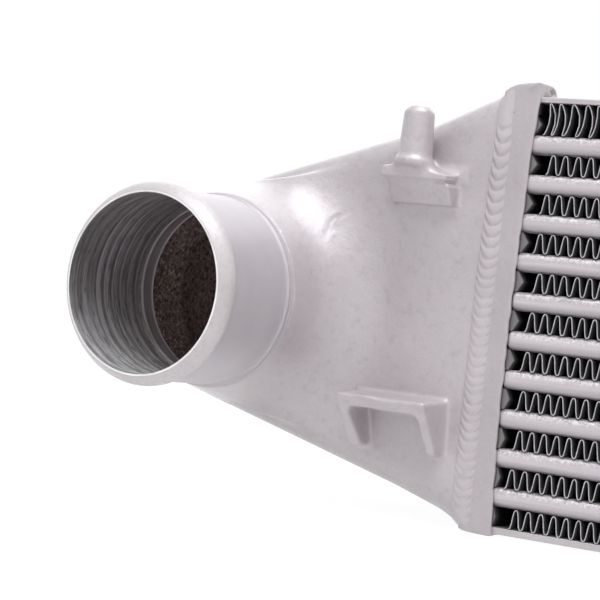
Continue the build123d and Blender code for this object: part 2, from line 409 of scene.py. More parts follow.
def roughCastSkin(name):
    # bare dark sand-cast wall inside the tank, with bright grains; painted darker near the neck (painted
    # shade) and lighter deeper in (painted light)
    finish = Finish(name)
    grain = finish.noise(bareCast["grainScale"], 4, 0.75)
    patch = finish.noise(bareCast["stainScale"], 3)
    # painted shade near the neck turning into painted light deeper in
    deepLit = finish.ramp(finish.part(1), passageY, -passageY * bareCast["deepPlace"])
    tone = finish.blend(deepLit, bareCast["nearShadeTone"], bareCast["deepLitTone"])
    tone = finish.blend(finish.ramp(patch, 0.35, 0.65, 0, 0.3), tone, bareCast["stain"])
    tone = finish.blend(finish.ramp(grain, 0.54, 0.64, 0, 0.85), tone, bareCast["grain"])
    tone = finish.blend(finish.ramp(grain, 0.40, 0.46, 0.8, 0), tone, bareCast["pit"])
    return finish.surface(
        Base_Color=tone, Metallic=0.3, Roughness=0.6, Normal=finish.bump(grain, bareCast["grainRise"], 0.9)
    )


turnedMetal = {
    "ringDark": (0.14, 0.125, 0.131, 1),
    "ringLight": (0.48, 0.445, 0.463, 1),
    # white streaks on the bore's lower half: painted highlight
    "litStreak": (1.0, 1.0, 1.0, 1),
    "litStreakAbove": 0.03,                       # how much of the painted highlight is left above the axis
    "litStreakHeights": (-28 * mm, 4 * mm),       # from the axis: full painted highlight, none
    "fleck": (0.12, 0.11, 0.12, 1),
    "fleckShare": 0.6,
    # plain band before the passage, from the mouth: where it starts, and where its edges get a painted
    # highlight
    "bandStart": (43.6 * mm, 44.4 * mm),
    "bandFront": (44.9 * mm, 45.4 * mm),
    "bandBack": (49.6 * mm, 50.6 * mm),
    "band": (0.42, 0.375, 0.38, 1),
    "bandEdgeHighlight": (1.0, 0.93, 0.92, 1),
    "streakRise": 0.18 * mm,
    "ringRise": 0.10 * mm,
}


def turnedAluminium(name):
    # bore, cut on a lathe: fine rings round the neck's axis, with bright streaks painted on below: painted
    # highlight
    finish = Finish(name)
    rings = finish.noise(60, 4, 0.7, (0.5, 20, 0.5))
    streak = finish.noise(110, 4, 0.7, (0.28, 5, 0.28))
    fleck = finish.noise(420, 3, 0.7, (0.35, 2.2, 0.35))
    depth, height = finish.part(1), finish.part(2)
    start, front, back = [
        [mouthY + place for place in turnedMetal[key]] for key in ("bandStart", "bandFront", "bandBack")
    ]
    litLow, litHigh = [neckPlace["z"] + place for place in turnedMetal["litStreakHeights"]]
    below = finish.ramp(height, litLow, litHigh, 1, 0)
    band = finish.ramp(depth, *start)
    edges = finish.most(finish.ramp(depth, *front, 1, 0), finish.ramp(depth, *back))
    left = turnedMetal["litStreakAbove"]
    # painted highlight: bright streaks, strongest below the axis
    litStreak = finish.ramp(streak, 0.34, 0.50) * (left + (1 - left) * below * below)
    tone = finish.blend(finish.ramp(rings, 0.32, 0.68), turnedMetal["ringDark"], turnedMetal["ringLight"])
    tone = finish.blend(litStreak, tone, turnedMetal["litStreak"])
    spots = finish.ramp(fleck, 0.52, 0.64, 0, turnedMetal["fleckShare"])
    tone = finish.blend(spots, tone, turnedMetal["fleck"])
    tone = finish.blend(band * 0.7, tone, turnedMetal["band"])
    # painted highlight on the band's two edges
    tone = finish.blend(band * edges * 0.9, tone, turnedMetal["bandEdgeHighlight"])
    skin = finish.bump(rings, turnedMetal["ringRise"], 0.7)
    return finish.surface(
        Base_Color=tone, Metallic=0.55 - 0.45 * band, Roughness=finish.uneven(streak, 0.30, 0.5),
        Normal=finish.bump(streak, turnedMetal["streakRise"], 0.8, skin),
    )


beadMetal = {
    "low": (0.53, 0.492, 0.497, 1),
    "high": (0.59, 0.55, 0.558, 1),
    "fleck": (0.40, 0.372, 0.372, 1),
    "edgeLow": (0.72, 0.70, 0.70, 1),
    "edgeHigh": (0.92, 0.90, 0.90, 1),
    "grainRise": 0.05 * mm,
}


def satinBead(name):
    # thinly coated bead and rim, a little warmer than the rest
    finish = Finish(name)
    grain = finish.noise(600, 3, 0.6)
    wear = finish.noise(45, 3)
    tone = finish.blend(finish.clouded(wear), beadMetal["low"], beadMetal["high"])
    tone = finish.blend(finish.ramp(grain, 0.5, 0.7, 0, 0.35), tone, beadMetal["fleck"])
    return finish.surface(
        Base_Color=tone, Metallic=0.2, Roughness=finish.uneven(grain, 0.42, 0.54),
        Coat_Weight=0.15, Coat_Roughness=0.3, Normal=finish.bump(grain, beadMetal["grainRise"], 0.8),
    )


def brightEdge(name):
    # bare metal where the neck's end was faced on the lathe
    finish = Finish(name)
    rings = finish.noise(80, 3, 0.6)
    tone = finish.blend(finish.clouded(rings), beadMetal["edgeLow"], beadMetal["edgeHigh"])
    return finish.surface(
        Base_Color=tone, Metallic=0.35, Roughness=0.3, Normal=finish.bump(rings, beadMetal["grainRise"], 0.5)
    )


barMetal = {
    "low": (0.54, 0.498, 0.517, 1),
    "high": (0.64, 0.596, 0.615, 1),
    "shade": (0.20, 0.180, 0.19, 1),         # along the lower edge
    # bright braze specks, kept to the upper band: partly painted glint
    "braze": (0.92, 0.88, 0.89, 1),
    "brazePit": (0.30, 0.275, 0.28, 1),
    "pitch": 14 * mm,                        # from one bar to the next
    "lowStart": -0.5 * mm,
    "brazeHeights": (3.6 * mm, 6.0 * mm),
    "shadeHeights": (0.2 * mm, 3.2 * mm),
    "lineRise": 0.08 * mm,
    "brazeRise": 0.10 * mm,
}


def brazedBar(name):
    # extruded bar: lengthwise drawing lines, and bright braze specks along its upper edge only: partly braze,
    # partly painted glints where the light falls
    finish = Finish(name)
    lines = finish.noise(90, 3, 0.6, (0.15, 6, 6))
    speck = finish.noise(900, 2, 0.7)
    pitch = barMetal["pitch"]
    aboveFirst = finish.part(2) - (barLow.z + barMetal["lowStart"]) + pitch
    local = finish.add("Math", {"operation": "MODULO"}, {0: aboveFirst, 1: pitch})
    upper = finish.ramp(local, *barMetal["brazeHeights"])
    lower = finish.ramp(local, *barMetal["shadeHeights"], 1, 0)
    tone = finish.blend(finish.clouded(lines), barMetal["low"], barMetal["high"])
    tone = finish.blend(lower * 0.75, tone, barMetal["shade"])
    # bright specks in the upper band: partly braze, partly painted glint
    tone = finish.blend(finish.ramp(speck, 0.52, 0.64) * upper * 0.7, tone, barMetal["braze"])
    tone = finish.blend(finish.ramp(speck, 0.36, 0.46, 1, 0) * upper * 0.6, tone, barMetal["brazePit"])
    skin = finish.bump(lines, barMetal["lineRise"], 0.6)
    return finish.surface(
        Base_Color=tone, Metallic=0.45, Roughness=finish.uneven(speck, 0.34, 0.5),
        Normal=finish.bump(speck, barMetal["brazeRise"], 0.9, skin),
    )


foil = {
    "edgeLow": (0.56, 0.53, 0.54, 1),
    "edgeHigh": (0.76, 0.73, 0.74, 1),
    "wallFrontShade": (0.16, 0.155, 0.17, 1),
    "wallDeepShade": (0.006, 0.006, 0.008, 1),
    "edgeReach": 0.5 * mm,
    "shadeReach": 5 * mm,                     # from the core's face to full painted shade
}


def finFoil(name):
    # thin foil: bright cut edges; walls painted dark between the folds, darker with depth: painted shade
    finish = Finish(name)
    inside = finish.coreDepth(foil["shadeReach"])
    edge = finish.ramp(finish.coreDepth(foil["edgeReach"]), 0, 0.6)
    grain = finish.noise(700, 2)
    bright = finish.blend(finish.ramp(grain, 0.4, 0.7), foil["edgeLow"], foil["edgeHigh"])
    # painted shade on the walls, deepening into the core
    wall = finish.blend(inside ** 0.6, foil["wallFrontShade"], foil["wallDeepShade"])
    return finish.surface(
        Base_Color=finish.blend(edge, bright, wall), Metallic=finish.ramp(edge, 0, 1, 0.6, 0.15),
        Roughness=0.45, Normal=finish.bump(grain, 0.03 * mm, 0.5),
    )


plateMetal = {
    "low": (0.50, 0.465, 0.48),
    "high": (0.60, 0.56, 0.575),
    # painted shade deep inside the core
    "deep": (0.010, 0.009, 0.010, 1),
    "shadeReach": 4 * mm,
    "metallic": 0.6,
    "brushRise": 0.02 * mm,
}


def rolledPlate(name, deep=False, dim=1.0):
    # flat plate and sheet with faint braze stains; the sheets are painted darker inwards: painted shade
    # inside the core
    finish = Finish(name)
    stain = finish.noise(25, 4, 0.6)
    brush = finish.noise(300, 2, 0.5, (0.1, 1, 1))
    low, high = [tuple(dim * part for part in plateMetal[key]) + (1,) for key in ("low", "high")]
    tone = finish.blend(finish.ramp(stain, 0.35, 0.7), low, high)
    metal = plateMetal["metallic"]
    if deep:
        # painted shade: darker with depth into the core
        inside = finish.coreDepth(plateMetal["shadeReach"])
        tone = finish.blend(inside ** 0.5, tone, plateMetal["deep"])
        metal = finish.ramp(inside, 0, 1, 0.5, 0.1)
    return finish.surface(
        Base_Color=tone, Metallic=metal, Roughness=finish.uneven(stain, 0.36, 0.48),
        Normal=finish.bump(brush, plateMetal["brushRise"], 0.6),
    )


finishes = {
    "cast": castPaint("cast_paint"),
    "frameCast": castPaint("frame_paint", 0.7, (0.92, 0.92, 0.92)),
    "seamCast": castPaint("seam_paint", 0.6, (1.03, 1.03, 1.03)),
    "smoothCast": castPaint("neck_paint", 0.2, (0.99, 1.01, 1.02), 0.25),
    "roughCast": roughCastSkin("rough_cast_skin"),
    "turned": turnedAluminium("turned_aluminium"),
    "bead": satinBead("satin_bead"),
    "edge": brightEdge("bright_edge"),
    "bar": brazedBar("brazed_bar"),
    "fin": finFoil("fin_foil"),
    "plate": rolledPlate("rolled_plate"),
    "sheet": rolledPlate("braze_sheet", True),
    "pointedBar": rolledPlate("pointed_bar", True, 0.5),
}
print("finishes ready")


# finishes for CAD nodes that stay as they are
def dressNode(name, finish):
    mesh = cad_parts[name].data
    mesh.materials.clear()
    mesh.materials.append(finishes[finish])


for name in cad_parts:
    if name.startswith("cooling_fin"):
        dressNode(name, "fin")
    elif name.startswith(("parting_sheet", "turbulator")) or name.endswith("header_bars"):
        dressNode(name, "sheet")
    elif name.endswith("side_plate"):
        dressNode(name, "plate")
    elif name.endswith("bars"):
        dressNode(name, "bar")
    else:
        dressNode(name, "smoothCast")
print("CAD nodes dressed")


# cast tank
tank = {
    "voxel": 0.75 * mm,
    "keepShare": 0.36,                # share of the faces kept when the casting is thinned out
    "boreRelief": 0.9 * mm,           # the bore is opened by this much for the turned neck
    "cutBehindShoulder": 1.6 * mm,
    "insideRadius": 35.2 * mm,        # nearer to the neck's axis nothing is moved
    "throatDepth": 5 * mm,            # the bare inside starts by here, behind the face
    "wallThickness": 2.2 * mm,
    "pinTaper": 0.06,
    "pinReach": 8 * mm,
    # hollow between the cone and the face: full to the first angle from the joint's side, gone at the second
    "blendRadius": 24 * mm,
    "blendLeast": 1.0 * mm,
    "blendPast": 0.6 * mm,
    "blendAngles": (62.0, 104.0),
    # where it is smoothed: behind the shoulder, from the axis, from the joint, above or below the axis
    "blendBehind": (3 * mm, 8 * mm),
    "blendAround": (62 * mm, 70 * mm),
    "blendClear": (56 * mm, 50 * mm),
    "blendLevel": (24 * mm, 28 * mm),
    "blendDeep": 12 * mm,
    # rounds of smoothing
    "calmRounds": 3,
    "blendRounds": 16,
    "rimRounds": 12,
    "footRounds": 20,
    "catchRounds": 22,
    # from the joint and the face: where the skin and its long rims begin to be smoothed
    "calmAcross": (0.5 * mm, 2 * mm),
    "rimAcross": (3 * mm, 12 * mm),
    "rimDepth": (-0.1 * mm, 2 * mm),
    # ledge below the pin: how far it stands out, its place, its fall and its rounded end
    # (all "Across" pairs from here on are the far and the near distance from the joint)
    "ledgeProud": 0.8 * mm,
    "ledgeAcross": (29 * mm, 10 * mm),
    "ledgeHeights": (122 * mm, 131 * mm),
    "ledgeTop": (124.4 * mm, 128 * mm),
    "ledgeFall": 2.3 * mm,
    "fallAcross": (27 * mm, 14 * mm),
    "ledgeShorter": 2.3 * mm,
    "endAcross": (17 * mm, 12.6 * mm),
    "ledgeBack": 1.3 * mm,
    "backAcross": (24 * mm, 17 * mm),
    "backProud": 8.6 * mm,
    # the pin's foot: heights where the smoothing comes and goes, distances across from the pin
    "footRise": (124.5 * mm, 126.5 * mm),
    "footEnd": (131.5 * mm, 134 * mm),
    "footLeft": (-15 * mm, -13 * mm),
    "footRight": (14 * mm, 18 * mm),
    "footProud": 1 * mm,
    # catch below the neck, and where its edge is uneven: waves (height, width, shift) and one dent
    "catchProud": 0.6 * mm,
    "catchAcross": (49 * mm, 7 * mm),
    "catchTop": 46 * mm,
    "dentProud": 12 * mm,
    "dentAcross": (49 * mm, 8 * mm),
    "dentHeights": (37 * mm, 46 * mm),
    "dentFront": (13 * mm, 18 * mm),
    "dentWaves": ((0.35, 1.9, 0), (0.3, 3.7, 1)),
    "dentPlace": (-134.6, 1.6),       # place across and width, mm
    "dentIn": 0.6,
    "dentDown": 0.8,
    # the lower side runs down by this much into the frame
    "dip": 1.5 * mm,
    "dipAcross": (13 * mm, 1.5 * mm),
    "dipHeights": (9 * mm, 26 * mm),
    # folds in the casting beside the neck (place across, height, turn, half length, half width, rise)
    "folds": (
        (-177.0, 107.6, 58, 2.6, 0.9, 0.38),
        (-175.2, 106.4, 60, 2.8, 0.8, -0.38),
        (-173.3, 106.0, 50, 2.6, 0.9, 0.32),
        (-178.2, 102.8, 96, 2.8, 0.9, 0.32),
        (-175.9, 101.6, 88, 2.6, 0.9, -0.30),
        (-174.0, 100.6, 75, 2.0, 0.8, 0.22),
    ),
    "foldBend": 0.08,
    "foldRadius": 37 * mm,            # the folds keep off the neck
    # thin hollow under the foot of the web behind the pin
    "groove": 0.7 * mm,
    "grooveAcross": (40.5 * mm, 13.5 * mm),
    "grooveDepth": (-1.6 * mm, 1 * mm),
    "grooveHeight": 114.7 * mm,
    "grooveHalf": 0.8 * mm,
}


neckAxis = (neckPlace["x"], neckPlace["z"])


def axisRadius(points):
    return np.hypot(points[:, 0] - neckPlace["x"], points[:, 2] - neckPlace["z"])


def axisAngle(points):
    # degrees away from the direction of the joint
    return np.degrees(np.abs(np.arctan2(points[:, 2] - neckPlace["z"], points[:, 0] - neckPlace["x"])))


def ramped(values, low, high):
    # 0 below the low value, 1 above the high one, with soft ends
    share = np.clip((values - low) / (high - low), 0, 1)
    return share * share * (3 - 2 * share)


def between(values, low, high):
    return (values > low) & (values < high)


def fromJoint(distances):
    # places across for distances from the joint
    return [jointX - distance for distance in distances]


def scaleRound(points, chosen, centre, axes, scale):
    for axis, middle in zip(axes, centre):
        points[chosen, axis] = middle + (points[chosen, axis] - middle) * scale[chosen]


def openBore(body):
    points = coordinates(body)
    radius = axisRadius(points)
    near = 0.2 * mm
    onBore = (np.abs(radius - neckPlace["boreRadius"]) < near) & (points[:, 1] < passageY + near)
    wider = (radius + tank["boreRelief"]) / np.maximum(radius, micron)
    scaleRound(points, onBore, neckAxis, (0, 2), wider)
    setCoordinates(body, points)


def hollowCorner(body):
    # fills the corner between cone and face with an arc that fades towards the neck's far side
    points = coordinates(body)
    radius = axisRadius(points)
    fade = 1 - ramped(axisAngle(points), *tank["blendAngles"])
    arc = tank["blendRadius"] * fade + tank["blendLeast"]
    slope = neckPlace["coneSlope"]
    centreY = faceY - arc
    centreR = neckPlace["shoulderRadius"] + slope * (centreY - shoulderY) + arc * hypot(1, slope)
    towardsAxis, back = centreR - radius, points[:, 1] - centreY
    reach = np.hypot(towardsAxis, back)
    direction = np.degrees(np.arctan2(back, towardsAxis))
    corner = (towardsAxis > 0) & between(direction, np.degrees(atan2(slope, 1)), 90) & (reach > arc)
    corner &= (points[:, 1] < faceY + tank["blendPast"]) & (radius > tank["insideRadius"])
    shrink = arc / np.maximum(reach, micron)
    newRadius = centreR - towardsAxis * shrink
    points[corner, 1] = (centreY + back * shrink)[corner]
    scaleRound(points, corner, neckAxis, (0, 2), newRadius / np.maximum(radius, micron))
    setCoordinates(body, points)


def shapeLedge(body):
    # the ledge's top falls away towards the joint and its end runs into the web below it
    points = coordinates(body)
    x, y, z = points.T
    onLedge = (y < faceY - tank["ledgeProud"]) & between(z, *tank["ledgeHeights"])
    onLedge &= between(x, *fromJoint(tank["ledgeAcross"]))
    along = ramped(x, *fromJoint(tank["fallAcross"]))
    z -= tank["ledgeFall"] * along * ramped(z, *tank["ledgeTop"]) * onLedge
    x -= tank["ledgeShorter"] * ramped(x, *fromJoint(tank["endAcross"])) * onLedge
    inner = ramped(x, *fromJoint(tank["backAcross"])) * onLedge * (y < faceY - tank["backProud"])
    y += tank["ledgeBack"] * inner
    setCoordinates(body, points)


def dentCatch(body):
    # the catch's front edge is uneven where the mould was dressed
    points = coordinates(body)
    x, y, z = points.T
    onEdge = (y < faceY - tank["dentProud"]) & between(z, *tank["dentHeights"])
    onEdge &= between(x, *fromJoint(tank["dentAcross"]))
    place, (dent, dentWidth) = x / mm, tank["dentPlace"]
    wave = sum(height * np.sin(place / width + shift) for height, width, shift in tank["dentWaves"])
    wave = wave + np.exp(-(((place - dent) / dentWidth) ** 2))
    start, full = [distance - faceY for distance in tank["dentFront"]]
    front = ramped(-y, start, full)
    y += wave * tank["dentIn"] * mm * front * onEdge
    z -= wave * tank["dentDown"] * mm * front * onEdge
    setCoordinates(body, points)


def dipFoot(body):
    points = coordinates(body)
    along = ramped(points[:, 0], *fromJoint(tank["dipAcross"]))
    points[:, 2] -= tank["dip"] * along * (1 - ramped(points[:, 2], *tank["dipHeights"]))
    setCoordinates(body, points)


def taperPin(body):
    # a little thicker at its foot and thinner at its top
    points = coordinates(body)
    fromPin = np.hypot(points[:, 0] - pinPlace["x"], points[:, 1] - pinPlace["y"])
    up = ramped(points[:, 2], pinPlace["foot"], pinPlace["top"])
    onPin = (fromPin < tank["pinReach"]) & (points[:, 2] > pinPlace["foot"])
    scale = 1 + tank["pinTaper"] * (0.8 - 2 * up)
    scaleRound(points, onPin, (pinPlace["x"], pinPlace["y"]), (0, 1), scale)
    setCoordinates(body, points)


def soften(body, weights, rounds):
    weightGroup(body, "soft", weights)
    applyModifier(body, "SMOOTH", factor=0.5, iterations=rounds, vertex_group="soft")
    body.vertex_groups.clear()


def nearBlend(points):
    # round the neck's root only, clear of the joint, the shoulder, the ledge and the catch
    atShoulder = ramped(points[:, 1] - shoulderY, *tank["blendBehind"])
    roundNeck = 1 - ramped(axisRadius(points), *tank["blendAround"])
    offAxis = ramped(np.abs(points[:, 2] - neckPlace["z"]), *tank["blendLevel"])
    clear = 1 - ramped(points[:, 0], *fromJoint(tank["blendClear"])) * offAxis
    return atShoulder * roundNeck * clear * (points[:, 1] < faceY + tank["blendDeep"])


def nearPinFoot(points):
    # the pin's foot and the ledge's top are one rounded lump
    x, y, z = points.T
    up = ramped(z, *tank["footRise"]) * (1 - ramped(z, *tank["footEnd"]))
    left, right = [[pinPlace["x"] + place for place in tank[key]] for key in ("footLeft", "footRight")]
    return up * (ramped(x, *left) * (1 - ramped(x, *right))) * (y < faceY - tank["footProud"])


def foldFace(body):
    # small folds in the skin beside the neck, and a thin hollow under the web's foot
    points = coordinates(body)
    x, y, z = points.T
    front, back = [faceY + place for place in tank["grooveDepth"]]
    outside = (y < back) & (axisRadius(points) > tank["foldRadius"])
    for placeX, placeZ, turn, halfLong, halfWide, rise in tank["folds"]:
        across, up = x / mm - placeX, z / mm - placeZ
        turned = np.radians(turn)
        length = across * np.cos(turned) + up * np.sin(turned)
        width = up * np.cos(turned) - across * np.sin(turned) + tank["foldBend"] * length ** 2
        y -= rise * mm * np.exp(-((length / halfLong) ** 2) - (width / halfWide) ** 2) * outside
    inWidth = between(x, *fromJoint(tank["grooveAcross"]))
    hollow = np.exp(-(((z - tank["grooveHeight"]) / tank["grooveHalf"]) ** 2))
    y += tank["groove"] * hollow * inWidth * between(y, front, back)
    setCoordinates(body, points)


def nearCatch(points):
    far, near = tank["catchAcross"]
    low = between(jointX - points[:, 0], near, far) & (points[:, 2] < tank["catchTop"])
    return low & (points[:, 1] < faceY - tank["catchProud"])


def alongRims(points):
    # the long edges between the face and the upper and lower sides
    atJoint = ramped(jointX - points[:, 0], *tank["rimAcross"])
    depth = ramped(points[:, 1], *[faceY + place for place in tank["rimDepth"]])
    return atJoint * depth * (axisRadius(points) > tank["insideRadius"])


def cutAtShoulder(body):
    # cuts the cast neck off behind the shoulder and closes the wall's end
    with editing(body, "DESELECT"):
        bpy.ops.mesh.select_mode(type="VERT")
        bpy.ops.mesh.select_all(action="SELECT")
        bpy.ops.mesh.bisect(
            plane_co=(0, shoulderY + tank["cutBehindShoulder"], 0), plane_no=(0, 1, 0), clear_inner=True
        )
        bpy.ops.mesh.select_all(action="DESELECT")
        bpy.ops.mesh.select_non_manifold(
            use_wire=False, use_multi_face=False, use_non_contiguous=False, use_verts=False
        )
        bpy.ops.mesh.bridge_edge_loops()


def faceValues(mesh, key):
    flat = np.empty(len(mesh.polygons) * 3)
    mesh.polygons.foreach_get(key, flat)
    return flat.reshape(-1, 3)


def paintInside(body):
    # second material on the walls of the hollow: they look towards the tank's middle
    centres, normals = faceValues(body.data, "center"), faceValues(body.data, "normal")
    nothing, level = np.zeros(len(centres)), np.full(len(centres), neckPlace["z"])
    middle = np.c_[np.maximum(centres[:, 0], neckPlace["x"]), nothing, level]
    looksIn = np.einsum("ij,ij->i", normals, centres - middle) < 0
    hollow = looksIn & (np.abs(centres[:, 1]) < -faceY - tank["wallThickness"])
    throat = (axisRadius(centres) < tank["insideRadius"]) & (centres[:, 1] < faceY + tank["throatDepth"])
    body.data.polygons.foreach_set("material_index", (hollow | throat).astype(np.int32))


def castBody():
    body = mergedCopy("left_tank", "left_tank_casting")
    openBore(body)
    applyModifier(body, "REMESH", mode="VOXEL", voxel_size=tank["voxel"], use_smooth_shade=True)
    for shape in (hollowCorner, taperPin, shapeLedge, dentCatch, dipFoot):
        shape(body)
    calmLow, calmHigh = tank["calmAcross"]
    soften(body, ramped(jointX - coordinates(body)[:, 0], calmLow, calmHigh), tank["calmRounds"])
    places = (nearBlend, alongRims, nearPinFoot, nearCatch)
    for place, rounds in zip(places, ("blendRounds", "rimRounds", "footRounds", "catchRounds")):
        soften(body, place(coordinates(body)).astype(float), tank[rounds])
    foldFace(body)
    cutAtShoulder(body)
    applyModifier(body, "DECIMATE", ratio=tank["keepShare"])
    cover(body, "cast", "roughCast")
    paintInside(body)
    smoothShade(body)
    return body


leftBody = castBody()
rightBody = mirroredCopy(leftBody, "right_tank_casting", 0)
keepPiece(leftBody, "cast_tank", "left_tank")
keepPiece(rightBody, "cast_tank", "right_tank")
print("tanks cast:", len(leftBody.data.polygons), "faces each")


# turned neck
neck = {
    "steps": 168,
    "tubeGain": 0.75 * mm,            # the tube widens by this much towards its shoulder
    "beadRise": 2.1 * mm,
    "beadPeak": 5.6 * mm,             # from the mouth to the bead's highest place
    "beadEnd": 9.0 * mm,
    "beadParts": (10, 8),
    "beadShare": 0.7,                 # share of the bead that has the bead's finish
    "rimRound": 0.25 * mm,
    "rimDepth": 0.2 * mm,
    "coneCover": 1.75 * mm,           # the neck's piece covers the cone's start by this much
    "wallInside": 0.6 * mm,
    # outlines of the wall, mm out from a radius and back from a place
    "rimOutline": ((0, 0.02), (0.25, 0.2)),
    "tubeOutline": ((-0.1, -3), (0, -0.5), (0.08, -0.35)),
    "ringOutline": ((-0.30, -0.15), (-0.02, 0.15), (0.03, 0.45)),
    "ringWidth": 1.25 * mm,
    "ringGroove": 0.45 * mm,
    "secondRise": 0.12 * mm,
    "reliefEnd": 51.8 * mm,           # the machined bore ends here, behind a small bevel
    # steps left by the turning tool in the bore
    "rings": 8,
    "ringsStart": 4.5 * mm,
    "ringsEnd": 44 * mm,
    "ringDepth": 0.42 * mm,
    "ringUneven": (0.55, 1.15),
    "ringPoints": 6,
    "bandStep": 0.45 * mm,            # the plain band behind them stands in by this much
}


def outline(radius, place, offsets):
    return [(radius + out * mm, place + back * mm) for out, back in offsets]


def neckProfile():
    # (radius, distance behind the mouth), round the wall and back to the start
    bore, tube = neckPlace["boreRadius"], neckPlace["tubeRadius"]
    shoulder, length = neckPlace["shoulderRadius"], neckPlace["length"]
    rim, peak = neckPlace["mouthRadius"], tube + neck["beadRise"]
    widened = tube + neck["tubeGain"]
    points = [(bore + 0.12 * mm, 0)] + outline(rim, 0, neck["rimOutline"])
    # bead, up to its peak and down to the tube
    frontParts, backParts = neck["beadParts"]
    start, climb = rim + neck["rimRound"], peak - rim - neck["rimRound"]
    for step in range(1, frontParts + 1):
        share = step / frontParts
        along = neck["rimDepth"] + (neck["beadPeak"] - neck["rimDepth"]) * share
        points.append((start + climb * sin(pi / 2 * share) ** 0.9, along))
    for step in range(1, backParts + 1):
        share = step / backParts
        along = neck["beadPeak"] + (neck["beadEnd"] - neck["beadPeak"]) * share
        points.append((tube + neck["beadRise"] * (1 + cos(pi * share)) / 2, along))
    points += [(tube + 0.05 * mm, neck["beadEnd"] + 4 * mm), ((tube + widened) / 2, length * 0.55)]
    # ring at the shoulder, groove and second low ring on the cone
    ringStart = length - neck["ringWidth"]
    points += outline(widened, ringStart, neck["tubeOutline"])
    points += outline(shoulder, ringStart, neck["ringOutline"])
    points.append((shoulder - 0.02 * mm, length - 0.25 * mm))
    second, end = neck["secondRise"], length + neck["coneCover"]
    cone = [shoulder + neckPlace["coneSlope"] * reach * mm for reach in (0, 0.4, 0.8, 1.2, 1.5)]
    groove = cone[0] - neck["ringGroove"]
    points += [(groove, length - 0.05 * mm), (groove, length + 0.1 * mm)]
    points += [(cone[1] + second * 0.5, length + 0.4 * mm), (cone[2] + second, length + 0.8 * mm)]
    points += [(cone[3] + second * 0.8, length + 1.2 * mm), (cone[4] - 0.25 * mm, length + 1.5 * mm)]
    points += [(cone[4] - 0.5 * mm, end), (shoulder - neck["wallInside"], end)]
    # inside, from the relief to the mouth
    inner, reliefEnd, bandEnd = bore + neck["wallInside"], neck["reliefEnd"], neck["ringsEnd"]
    points += [(inner, end), (inner, reliefEnd)]
    points += [(bore + 0.4 * mm, reliefEnd), (bore - 0.15 * mm, reliefEnd - 0.5 * mm)]
    band = bore - neck["bandStep"]
    points += [(bore - 0.1 * mm, bandEnd + 1.2 * mm), (band, bandEnd + 0.6 * mm)]
    points += [(band, bandEnd), (bore, bandEnd - 0.6 * mm)]
    ringPitch = (bandEnd - 6 * mm) / neck["rings"]
    draw = Random(5)
    for ring in reversed(range(neck["rings"])):
        deep = neck["ringDepth"] * draw.uniform(*neck["ringUneven"])
        for step in reversed(range(neck["ringPoints"])):
            share = step / neck["ringPoints"]
            depth = deep * sin(pi * share ** 1.4) ** 2
            points.append((bore - 0.02 * mm + depth, neck["ringsStart"] + ringPitch * (ring + share)))
    points += [(bore, 1.2 * mm), (bore + 0.06 * mm, 0.4 * mm)]
    return points


def turnNeck():
    clearSelection()
    profile = neckProfile()
    bpy.ops.mesh.primitive_circle_add(vertices=len(profile), radius=1)
    piece = startPiece("left_neck")
    places = [(neckPlace["x"] + radius, mouthY + back, neckPlace["z"]) for radius, back in profile]
    setCoordinates(piece, places)
    with editing(piece):
        bpy.ops.mesh.spin(
            steps=neck["steps"], angle=2 * pi, use_auto_merge=True,
            center=(neckPlace["x"], 0, neckPlace["z"]), axis=(0, 1, 0),
        )
    mergeDoubles(piece, 10 * micron)
    outwardFaces(piece)
    cover(piece, "smoothCast", "turned", "bead", "edge")
    bore = neckPlace["boreRadius"]
    for face in piece.data.polygons:
        radius = hypot(face.center.x - neckPlace["x"], face.center.z - neckPlace["z"])
        back = face.center.y - mouthY
        if back < 0.05 * mm and radius > bore - 0.05 * mm:
            face.material_index = 3
        elif radius < bore + 0.3 * mm:
            face.material_index = 1
        elif back < neck["beadEnd"] * neck["beadShare"]:
            face.material_index = 2
    smoothShade(piece, 35)
    return piece


leftNeck = turnNeck()
rightNeck = mirroredCopy(leftNeck, "right_neck", 0)
keepPiece(leftNeck, "cast_tank")
keepPiece(rightNeck, "cast_tank")
print("necks turned")


# weld seam between tank and header frame
seam = {
    "leftLow": -3.3 * mm,             # the seam's edge on the tank, from the joint, low and high
    "leftHigh": -1.7 * mm,
    "leftHeights": (85 * mm, 152 * mm),
    "right": 5.2 * mm,
    "edgeStep": 0.42 * mm,
    "edgeUneven": 0.22,
    "crown": 0.85 * mm,
    "crownAt": 0.36,                  # where across the seam it stands highest
    "root": 1.2 * mm,
    # ripples
    "pitchLow": 3.4 * mm,
    "pitchHigh": 4.4 * mm,
    "pitchHeights": (60 * mm, 140 * mm),
    "pitchUneven": 0.14,
    "groove": 0.44 * mm,
    "grooveWidth": 0.14,
    "hump": 0.45,
    "lowest": 0.46,                   # where across the seam a ripple hangs lowest
    "riseLeft": 4.0 * mm,
    "riseRight": 3.0 * mm,
    "strengthHeights": (60 * mm, 120 * mm),
    "strengthWave": 17 * mm,
    "lastRipple": 141.5 * mm,         # above this the seam ends in one smooth pool
    "fadeOut": 5 * mm,
    # its path round the tank's end (inside) and round the frame (outside)
    "frameLow": 0.15 * mm,
    "frameHigh": 0.25 * mm,
    "frameRound": 3 * mm,
    "ringHigh": 159.7 * mm,
    "tankLow": 0.1 * mm,
    "tankHigh": 1.3 * mm,
    "tankRound": 7.5 * mm,
    "earBack": 16 * mm,
    "earStep": 4 * mm,
    "earRound": 2 * mm,
    "shares": (300, 26, 8, 120, 300, 150),   # points on each side of the path
    "cornerPoints": 8,
    # how far single rows are sunk into tank and frame
    "sunk": {0: 0.8 * mm, 0.012: 0.1 * mm, 0.96: 0.04 * mm, 1: 0.22 * mm},
}
